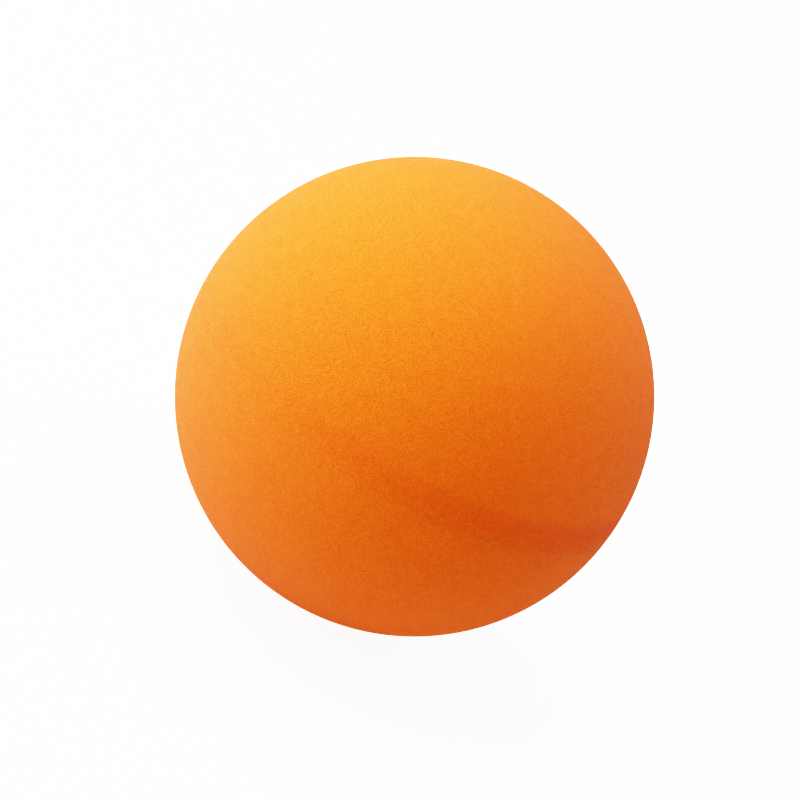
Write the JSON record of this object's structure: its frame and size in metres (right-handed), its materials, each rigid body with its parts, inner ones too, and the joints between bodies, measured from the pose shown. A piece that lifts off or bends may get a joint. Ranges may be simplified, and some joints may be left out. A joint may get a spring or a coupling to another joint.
{
  "type": "table tennis ball",
  "caption": "Hollow matt orange ball of thin plastic, pressed as half shells and cemented along a lap joint.",
  "frame": {"origin": "the ball's centre, which lies in the seam plane", "axes": "+Z is the axis of the seam, from the shell with the tongue towards the shell that covers it; X and Y lie in the seam plane and are alike"},
  "size_m": [0.04, 0.04, 0.04],
  "materials": {
    "orange_celluloid": "translucent, tumbled to an even matt grain",
    "cured_cement": "clear amber film, ground flush with the shells outside"
  },
  "bodies": {
    "root": {"upper_half_shell": "orange_celluloid", "lower_half_shell": "orange_celluloid", "seam_cement": "cured_cement"}
  },
  "joints": []
}
